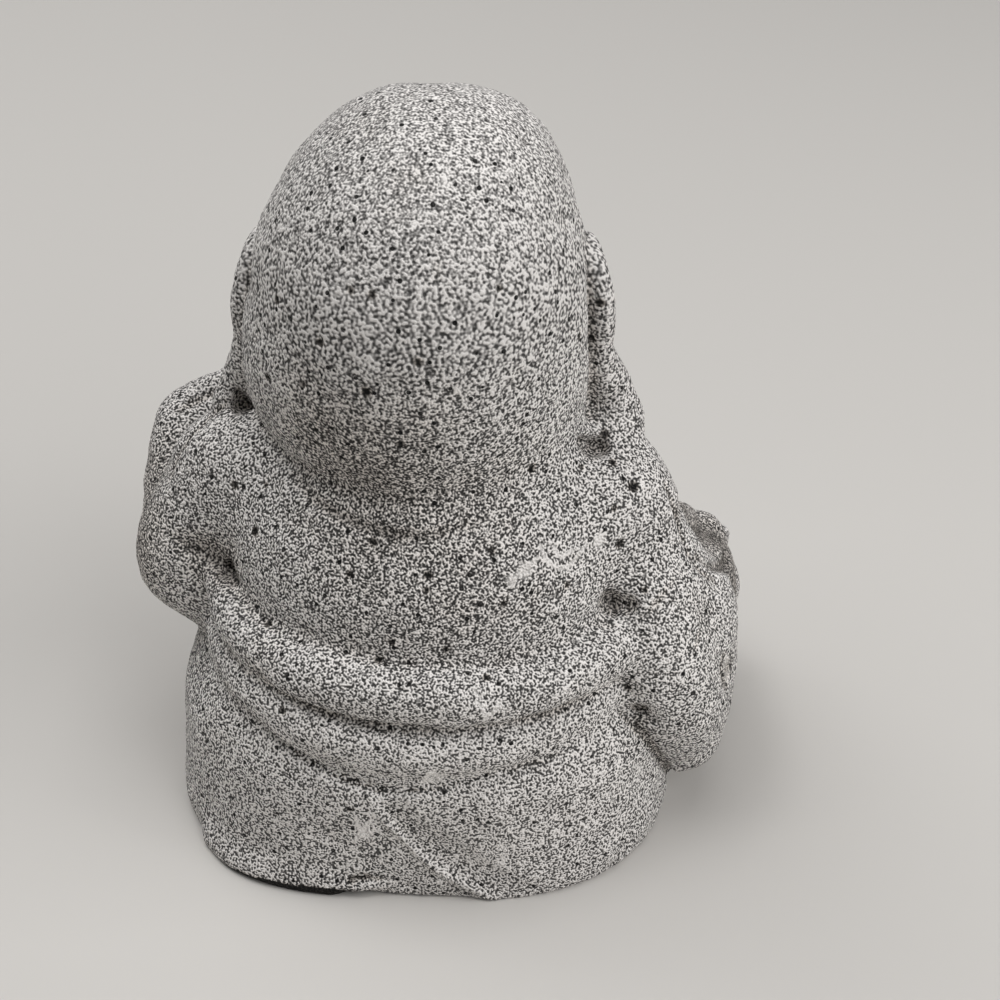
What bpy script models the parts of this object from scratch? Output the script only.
"""Laughing buddha, a small seated figure cast in stone in one piece.

The tables are in millimetres and the scene is in metres. +Z is up, the figure
faces -Y, its own left side is at +X, and the origin is under the middle of the
seat, on the plane that the figure stands on.
"""
import math

import bmesh
import bpy
import numpy as np
from mathutils import Euler, Matrix, Vector

MM = 0.001
NAME = "laughing_buddha"

# Seat: the robe spread over the folded legs.
SEAT_CENTRE = (-0.6, 5.2, 12.0)
SEAT_HALF = (35.6, 28.0, 20.0)
SEAT_CORNER = 26.0
SEAT_EDGE = 11.0

# Trunk: ellipsoids as (centre, radii), from the hips to the chest.
HIPS = ((0, 8, 18), (31.5, 25.0, 15.0))
WAIST = ((0, 9, 31), (29.5, 20.5, 14.0))
BACK = ((-0.5, 4, 42), (29.0, 25.2, 23.0))
BELLY = ((0, -12, 33), (25.5, 22.0, 20.0))
CHEST = ((0, -8, 51), (20.0, 13.5, 11.0))
LAP = ((0, -20, 12), (20.0, 14.0, 9.5))

# Rows of (x, y, z, radius) along the middle of a limb.
LEFT_THIGH = [(18, -2, 9, 14.0), (22.5, -12, 8.8, 12.8), (25.5, -20, 8.6, 11.4)]
RIGHT_THIGH = [(-20, -2, 10, 14.5), (-26, -12, 9.6, 13.2), (-29, -19.5, 9.4, 12.0)]
SHIN = [(26, -20, 8, 10.4), (16, -26.6, 6.6, 9.0), (5, -29.0, 5.6, 8.0)]
LEFT_UPPER_ARM = [(0, 3, 53, 10), (16, 3, 53.5, 9.5), (25, 2, 52.5, 9.5),
                  (30, 2, 47, 8.8), (33.2, 3, 39.5, 9.2), (33.6, 4, 36.5, 8.4)]
LEFT_FOREARM = [(34.2, 3, 37, 8.4), (36.4, -4, 40.4, 7.4), (37.0, -9, 45, 6.4), (36.4, -12, 48, 5.6)]
LEFT_HAND = [(36.2, -13.2, 50, 4.6), (31, -15.6, 51.0, 5.0), (25.5, -18.2, 48.8, 4.6)]
LEFT_DRAPE = ((28.5, -8.5, 43.0), (8.0, 9.5, 8.6))
FIRST_FINGER = [(28.0, -19.4, 51.6, 1.9), (22.5, -21.0, 51.0, 1.8), (18.2, -21.6, 49.2, 1.6)]
FINGER_STEP = (0.3, -0.6, -3.0)
FINGERS = 4
RIGHT_UPPER_ARM = [(0, 3, 53, 10), (-16, 3, 53.2, 9.5), (-25.6, 4, 50.2, 9.6),
                   (-30.4, 4, 42.4, 9.0), (-34, 4, 34, 8.8), (-35.4, 5, 27, 9.0)]
RIGHT_FOREARM = [(-35.6, 3, 31, 8.8), (-37.5, -8, 27, 7.4), (-38.5, -14, 26, 6.4)]
RIGHT_FIST = ((-39.4, -20.0, 26.6), (4.9, 5.6, 4.6))
CUFF = [(-36, -12.5, 33, 2.2), (-41.4, -14, 30.4, 2.4), (-44.2, -15.2, 24, 2.7),
        (-43.4, -15, 18, 3.0), (-39.6, -13, 14, 2.8)]
SLEEVE_BACK = [(-37.0, 4, 29, 8.2), (-38.6, 6, 20, 6.8), (-38.8, 8, 10.5, 5.0)]
SLEEVE_FRONT = [(-37.5, -7, 26, 7.2), (-39.2, -4, 18, 6.4), (-38.9, 2, 10, 5.0)]
SLEEVE_WEB = [(-38, -5, 17, 6.0), (-38.6, 3, 15, 6.0)]

# Robe: the band under the waist roll, the roll itself, and the collar.
HEM_BAND = [(29.6, 9, 30, 3.0), (26.2, 16, 29.5, 4.0), (21, 22.6, 28.2, 4.8), (13, 27.6, 26.4, 5.2),
            (0, 29.9, 25.2, 5.2), (-13, 28.0, 25.4, 5.2), (-22, 22.2, 25.2, 5.2), (-29, 13.5, 25.4, 5.0)]
WAIST_ROLL = [(0, 28.0, 32.8, 6.1), (13, 25.8, 33.2, 5.9), (21, 20.6, 34.0, 5.0), (26.4, 13.4, 35.0, 3.6),
              (28.0, 3, 36, 2.6), (26.6, -10, 32, 2.8), (16, -27.4, 22.5, 3.2), (0, -33.2, 18.6, 3.4),
              (-16, -27.4, 22.5, 3.2), (-26.6, -10, 32, 2.8), (-29, 4, 34, 3.0), (-27.6, 13.4, 33.0, 4.6),
              (-21.5, 20.4, 32.8, 5.6), (-13, 25.8, 32.8, 6.0)]
COLLAR_CENTRE = (0.5, 3.4, 55.6)
COLLAR_RADII = (18.4, 19.2)
COLLAR_TUBE = 4.2
COLLAR_DROP = 2.0
LAPEL = [(14.5, -13.0, 57, 1.8), (19.5, -18.0, 50, 2.2), (24.0, -19.0, 41, 2.2), (26.0, -16.0, 33, 2.0)]
PECTORAL = ((8.6, -15.4, 50.5), (9.0, 6.6, 6.4))
FOOT = [(-10.0, -33.0, 8.6, 4.0), (0.0, -34.6, 8.0, 4.8), (8.0, -34.4, 7.6, 4.4)]
FIRST_TOE = ((12.2, -35.4, 4.6), 2.3)
LAST_TOE = ((11.0, -33.6, 11.6), 1.5)
TOES = 5

# Head, ears and face.
CRANIUM = ((-0.1, 0.6, 80.8), (22.3, 24.4, 27.6))
HEAD_LEAN = -3.0
JAW = ((0.6, 0.0, 68.5), (23.4, 22.0, 16.5))
CHIN = ((0.4, -14.8, 58.8), (9.0, 7.2, 5.2))
EAR_RIM = [(21.0, -8.6, 79.0, 1.6), (21.2, -7.4, 84.0, 1.8), (21.2, -3.4, 87.2, 2.0), (22.6, 0.0, 84.6, 2.3),
           (23.2, 0.6, 78.0, 2.6), (23.1, 0.4, 71.0, 2.8), (24.8, -0.4, 65.0, 3.4), (26.4, -0.8, 61.0, 3.7)]
EAR_INNER = ((21.2, -4.6, 75.0), (2.6, 5.2, 11.0))
EAR_ROOT = ((24.0, 0.6, 60.5), (3.6, 3.0, 3.2))
CHEEK = ((11.2, -15.6, 69.2), (7.2, 6.0, 6.0))
BROW = [(3.6, -22.6, 84.4, 1.4), (8.6, -21.6, 86.2, 1.5), (14.2, -18.0, 84.2, 1.2)]
EYELID = [(4.6, -22.6, 79.2, 1.5), (8.8, -21.0, 80.4, 1.9), (13.2, -18.4, 79.0, 1.5)]
NOSE = [(0.2, -22.6, 82.0, 1.5), (0.2, -22.9, 77.0, 2.0), (0.3, -23.2, 72.8, 2.9)]
NOSTRIL = ((3.3, -22.2, 71.6), (2.1, 2.1, 1.8))
UPPER_LIP = [(-6.8, -19.8, 66.0, 1.0), (-3.2, -21.2, 64.9, 1.4), (0.4, -21.6, 64.5, 1.3),
             (4.0, -21.2, 64.9, 1.4), (7.6, -19.8, 66.0, 1.0)]
LOWER_LIP = [(-4.8, -20.0, 63.4, 1.0), (0.4, -20.9, 61.9, 1.6), (5.6, -20.0, 63.4, 1.0)]

# Hollows under the arms, as (centre, radii, turn in degrees).
LEFT_HOLLOW = ((28.2, 15.0, 42.0), (3.0, 6.2, 2.4), (0, 16, 0))
RIGHT_HOLLOW = ((-27.6, 18.4, 39.2), (2.5, 6.2, 2.5), (0, 0, 0))
NAVEL = ((0, -34.6, 31.5), (1.6, 2.4, 1.4), (0, 0, 0))

# Carved lines, as rows of (x, y, z, strength).
HEM_LINE = [(28, 15, 27.6, 0.5), (22.5, 23.5, 25.6, 1.0), (15, 30.0, 22.8, 1.0), (8, 33.2, 21.4, 1.0),
            (0, 34.0, 20.4, 1.0), (-12, 33.0, 21.4, 0.9), (-19.5, 28.6, 21.2, 0.6), (-26, 21, 20.4, 0.3)]
SEAT_RIDGE = [(6, 34.0, 16, 0.4), (2, 34.4, 12.0, 1.0), (-4, 34.0, 6.0, 1.0), (-10, 33.0, 0, 0.8)]
SLEEVE_LINE = [(-28.5, 22.5, 25.0, 0.8), (-32.5, 18, 16.0, 1.0), (-35, 13.5, 8.5, 1.0), (-36.4, 11, 4, 0.6)]
EYE_LINE = [(4.8, -23.6, 77.8, 0.7), (8.8, -22.6, 78.8, 1.0), (13.2, -19.4, 77.4, 0.7)]
EAR_LINE = [(21.2, 3.6, 87, 0.7), (22.6, 3.8, 80, 1.0), (23.4, 4.2, 70, 1.0), (23.9, 4.6, 60, 1.3)]
MOUTH_LINE = [(-8.0, -20.2, 66.2, 1.0), (-4.0, -22.4, 64.0, 1.0), (0.4, -23.0, 63.3, 1.0),
              (4.8, -22.4, 64.0, 1.0), (8.8, -20.2, 66.2, 1.0)]

# Folds of the robe: over the upper arms, below the left elbow, and over the knees.
LEFT_FOLDS = [[(38.5, -6, 37, 0.6), (40.5, 0, 33, 1.0), (36.5, 8, 32, 0.5)],
              [(33.0, 9.5, 48, 0.4), (39.0, 5, 44, 1.0), (41.5, -2, 42, 0.5)]]
RIGHT_FOLDS = [[(-36.5, 10, 38, 0.4), (-41.5, 5, 35, 1.0), (-42.5, -3, 33, 0.5)],
               [(-41.0, 10, 30, 0.4), (-44.5, 6, 24, 1.0), (-44.0, 2, 17, 0.5)],
               [(-41.5, 2, 26, 0.4), (-45.5, -2, 21, 1.0), (-43.5, 0, 14, 0.4)]]
KNEE_FOLDS = [[(14, -26, 17, 0.4), (24, -30, 13, 1.0), (33, -26, 9, 0.4)],
              [(10, -33, 13.5, 0.4), (19, -35, 8.5, 1.0), (28, -31, 4, 0.5)]]

# Carved widths and depths; a depth below 0 raises a ridge.
ROBE_CUT = (1.0, 1.0)
FOLD_CUT = (1.5, 0.8)
SLEEVE_CUT = (1.6, 1.4)
RIDGE_RISE = (1.4, -0.9)
EAR_CUT = (1.0, 1.0)
EYE_CUT = (0.8, 0.8)
MOUTH_CUT = (0.8, 0.9)

# Size of the grain each stage is fused at, and rounds of softening after it.
TRUNK_FUSE = (1.5, 14)
ARMS_FUSE = (1.2, 3)
ROBE_FUSE = (1.1, 3)
HEAD_FUSE = (1.1, 10)
FACE_FUSE = (1.0, 2)
LAST_FUSE = (1.0, 1)

GROUND_CENTRE = (0, 0, -20)
GROUND_SIZE = (120, 120, 40)
TRIANGLES = 8800
STONE_COLOUR = (0.305, 0.298, 0.288, 1.0)
STONE_ROUGHNESS = 0.9


def shifted(rows, step):
    """The rows moved by a step, with their radii kept."""
    return [tuple(a + b for a, b in zip(row, step)) + tuple(row[3:]) for row in rows]


def mirrored(shape):
    """The same centre, radii and any turn, or the same rows, on the other side of the figure."""
    if isinstance(shape, list):
        return [(-row[0],) + tuple(row[1:]) for row in shape]
    centre = shape[0]
    return ((-centre[0],) + tuple(centre[1:]),) + tuple(shape[1:])


def clear_scene():
    for obj in list(bpy.data.objects):
        bpy.data.objects.remove(obj, do_unlink=True)


def new_collection(name):
    collection = bpy.data.collections.new(name)
    bpy.context.scene.collection.children.link(collection)
    return collection


def new_object(name, mesh, collection):
    obj = bpy.data.objects.new(name, mesh)
    collection.objects.link(obj)
    return obj


def add_ball(clay, shape):
    """An ellipsoid given as centre and radii, or as centre, radii and turn."""
    centre, radii = shape[0], shape[1]
    turn = Euler([math.radians(angle) for angle in shape[2]]) if len(shape) > 2 else Euler()
    place = (Matrix.Translation(Vector(centre) * MM) @ turn.to_matrix().to_4x4()
             @ Matrix.Diagonal((*radii, 1 / MM)) * MM)
    bmesh.ops.create_uvsphere(clay, u_segments=32, v_segments=20, radius=1.0, matrix=place)


def add_limb(clay, rows, closed=False):
    """A round limb along the rows, swelling with their radius, with ball ends unless it is closed."""
    curve = bpy.data.curves.new("limb", "CURVE")
    curve.dimensions = "3D"
    curve.bevel_depth = MM
    curve.bevel_resolution = 6
    curve.resolution_u = 6
    curve.use_fill_caps = not closed
    spline = curve.splines.new("BEZIER")
    spline.bezier_points.add(len(rows) - 1)
    spline.use_cyclic_u = closed
    for point, (x, y, z, radius) in zip(spline.bezier_points, rows):
        point.co = Vector((x, y, z)) * MM
        point.radius = radius
        point.handle_left_type = "AUTO"
        point.handle_right_type = "AUTO"
    obj = new_object("limb", curve, bpy.context.scene.collection)
    view = bpy.context.evaluated_depsgraph_get()
    tube = bpy.data.meshes.new_from_object(obj.evaluated_get(view))
    older = len(clay.verts)
    clay.from_mesh(tube)
    clay.verts.ensure_lookup_table()
    bmesh.ops.remove_doubles(clay, verts=clay.verts[older:], dist=0.01 * MM)
    bpy.data.objects.remove(obj)
    bpy.data.curves.remove(curve)
    bpy.data.meshes.remove(tube)
    if not closed:
        for x, y, z, radius in (rows[0], rows[-1]):
            add_ball(clay, ((x, y, z), (radius, radius, radius)))


def add_cushion(clay, centre, half, corner, edge):
    """An upright block with round corners in plan and a soft edge all round."""
    place = Matrix.Translation(Vector(centre) * MM) @ Matrix.Diagonal((*half, 1 / (2 * MM))) * (2 * MM)
    block = bmesh.ops.create_cube(clay, size=1.0, matrix=place)["verts"]
    edges = {edge for vert in block for edge in vert.link_edges}
    upright = [e for e in edges if abs(e.verts[0].co.z - e.verts[1].co.z) > half[2] * MM]
    bmesh.ops.bevel(clay, geom=upright, offset=corner * MM, segments=12, profile=0.5, affect="EDGES")
    level = [e for e in clay.edges
             if all(abs(abs(v.co.z / MM - centre[2]) - half[2]) < 0.01 for v in e.verts)]
    bmesh.ops.bevel(clay, geom=level, offset=edge * MM, segments=7, profile=0.5, affect="EDGES")


def cast(clay, voxel, smoothing):
    """Fuse the closed bodies in clay into one skin, then soften where they meet."""
    mesh = bpy.data.meshes.new("cast")
    clay.to_mesh(mesh)
    clay.free()
    obj = new_object("cast", mesh, bpy.context.scene.collection)
    remesh = obj.modifiers.new("fuse", "REMESH")
    remesh.mode = "VOXEL"
    remesh.voxel_size = voxel * MM
    soften = obj.modifiers.new("soften", "SMOOTH")
    soften.factor = 0.5
    soften.iterations = smoothing
    view = bpy.context.evaluated_depsgraph_get()
    skin = bpy.data.meshes.new_from_object(obj.evaluated_get(view))
    bpy.data.objects.remove(obj)
    bpy.data.meshes.remove(mesh)
    fused = bmesh.new()
    fused.from_mesh(skin)
    bpy.data.meshes.remove(skin)
    return fused


def line_through(rows, steps=8):
    """Points of a smooth line through the rows, each with its strength."""
    points = np.array(rows, float)
    before = np.vstack([2 * points[0] - points[1], points[:-1]])
    after = np.vstack([points[1:], 2 * points[-1] - points[-2]])
    slope = (after - before) / 2
    line = []
    for start, end, leave, arrive in zip(points[:-1], points[1:], slope[:-1], slope[1:]):
        for t in np.linspace(0, 1, steps, endpoint=False):
            line.append((2 * t**3 - 3 * t**2 + 1) * start + (t**3 - 2 * t**2 + t) * leave
                        + (3 * t**2 - 2 * t**3) * end + (t**3 - t**2) * arrive)
    line.append(points[-1])
    return np.array(line)


def carve(clay, rows, cut):
    """Press a soft groove along the rows, or raise a ridge where the cut's depth is below 0."""
    width, depth = cut
    places = np.array([vert.co for vert in clay.verts]) / MM
    strength = np.zeros(len(places))
    for point in line_through(rows):
        near = ((places - point[:3]) ** 2).sum(axis=1)
        strength = np.maximum(strength, point[3] * np.exp(-near / width**2))
    clay.normal_update()
    for vert, push in zip(clay.verts, strength):
        vert.co -= vert.normal * float(push) * depth * MM


def build_trunk():
    clay = bmesh.new()
    add_cushion(clay, SEAT_CENTRE, SEAT_HALF, SEAT_CORNER, SEAT_EDGE)
    for shape in (HIPS, WAIST, BACK, BELLY, CHEST, LAP):
        add_ball(clay, shape)
    for rows in (LEFT_THIGH, RIGHT_THIGH, SHIN, mirrored(SHIN), LEFT_UPPER_ARM, RIGHT_UPPER_ARM):
        add_limb(clay, rows)
    return cast(clay, *TRUNK_FUSE)


def add_arms(clay):
    for rows in (LEFT_FOREARM, LEFT_HAND, RIGHT_FOREARM, CUFF, SLEEVE_BACK, SLEEVE_FRONT, SLEEVE_WEB):
        add_limb(clay, rows)
    for finger in range(FINGERS):
        add_limb(clay, shifted(FIRST_FINGER, [finger * step for step in FINGER_STEP]))
    add_ball(clay, LEFT_DRAPE)
    add_ball(clay, RIGHT_FIST)
    return cast(clay, *ARMS_FUSE)


def add_robe(clay):
    add_limb(clay, HEM_BAND)
    add_limb(clay, WAIST_ROLL, closed=True)
    ring = []
    for step in range(12):
        angle = step * math.tau / 12
        ring.append((COLLAR_CENTRE[0] + COLLAR_RADII[0] * math.sin(angle),
                     COLLAR_CENTRE[1] + COLLAR_RADII[1] * math.cos(angle),
                     COLLAR_CENTRE[2] - COLLAR_DROP * math.cos(angle), COLLAR_TUBE))
    add_limb(clay, ring, closed=True)
    add_limb(clay, LAPEL)
    add_limb(clay, mirrored(LAPEL))
    add_ball(clay, PECTORAL)
    add_ball(clay, mirrored(PECTORAL))
    add_limb(clay, FOOT)
    for share in np.linspace(0, 1, TOES):
        centre = Vector(FIRST_TOE[0]).lerp(Vector(LAST_TOE[0]), share)
        radius = FIRST_TOE[1] + (LAST_TOE[1] - FIRST_TOE[1]) * share
        add_ball(clay, (centre, (radius, radius, radius)))
    return cast(clay, *ROBE_FUSE)


def build_head():
    clay = bmesh.new()
    add_ball(clay, (*CRANIUM, (0, HEAD_LEAN, 0)))
    for shape in (JAW, CHIN, CHEEK, mirrored(CHEEK)):
        add_ball(clay, shape)
    return cast(clay, *HEAD_FUSE)


def add_features(clay):
    for rows in (NOSE, UPPER_LIP, LOWER_LIP):
        add_limb(clay, rows)
    for rows in (EAR_RIM, BROW, EYELID):
        add_limb(clay, rows)
        add_limb(clay, mirrored(rows))
    for shape in (EAR_INNER, EAR_ROOT, NOSTRIL):
        add_ball(clay, shape)
        add_ball(clay, mirrored(shape))
    return cast(clay, *FACE_FUSE)


def joined(first, second):
    mesh = bpy.data.meshes.new("second")
    second.to_mesh(mesh)
    second.free()
    first.from_mesh(mesh)
    bpy.data.meshes.remove(mesh)
    return cast(first, *LAST_FUSE)


def carve_lines(clay):
    carve(clay, HEM_LINE, ROBE_CUT)
    carve(clay, SLEEVE_LINE, SLEEVE_CUT)
    carve(clay, SEAT_RIDGE, RIDGE_RISE)
    carve(clay, MOUTH_LINE, MOUTH_CUT)
    for rows in LEFT_FOLDS + RIGHT_FOLDS:
        carve(clay, rows, FOLD_CUT)
    both_sides = [(EAR_LINE, EAR_CUT), (EYE_LINE, EYE_CUT)] + [(rows, FOLD_CUT) for rows in KNEE_FOLDS]
    for rows, cut in both_sides:
        carve(clay, rows, cut)
        carve(clay, mirrored(rows), cut)


def stone():
    material = bpy.data.materials.new("cast_stone")
    material.use_nodes = True
    shader = material.node_tree.nodes["Principled BSDF"]
    shader.inputs["Base Color"].default_value = STONE_COLOUR
    shader.inputs["Roughness"].default_value = STONE_ROUGHNESS
    shader.inputs["Metallic"].default_value = 0.0
    return material


def new_cutter(name, clay, collection):
    """A hidden object made of clay, for the Booleans to subtract."""
    mesh = bpy.data.meshes.new(name)
    clay.to_mesh(mesh)
    clay.free()
    cutter = new_object(name, mesh, collection)
    cutter.hide_render = True
    cutter.display_type = "WIRE"
    return cutter


def build_cutters(collection):
    """The blind hollows, and the block that leaves the underside flat."""
    cutters = []
    for name, shape in (("left_hollow", LEFT_HOLLOW), ("right_hollow", RIGHT_HOLLOW), ("navel", NAVEL)):
        clay = bmesh.new()
        add_ball(clay, shape)
        cutters.append(new_cutter(name, clay, collection))
    clay = bmesh.new()
    place = Matrix.Translation(Vector(GROUND_CENTRE) * MM) @ Matrix.Diagonal((*(Vector(GROUND_SIZE) * MM), 1))
    bmesh.ops.create_cube(clay, size=1.0, matrix=place)
    cutters.append(new_cutter("ground", clay, collection))
    return cutters


def build():
    clear_scene()
    figure_parts = new_collection(NAME)
    cutter_parts = new_collection("cutters")
    clay = joined(add_robe(add_arms(build_trunk())), add_features(build_head()))
    carve_lines(clay)
    mesh = bpy.data.meshes.new(NAME)
    clay.to_mesh(mesh)
    clay.free()
    mesh.materials.append(stone())
    mesh.shade_smooth()
    figure = new_object(NAME, mesh, figure_parts)
    thin_out = figure.modifiers.new("thin_out", "DECIMATE")
    thin_out.ratio = TRIANGLES / (2 * len(mesh.polygons))
    for cutter in build_cutters(cutter_parts):
        cut = figure.modifiers.new(cutter.name, "BOOLEAN")
        cut.operation = "DIFFERENCE"
        cut.solver = "EXACT"
        cut.object = cutter


build()
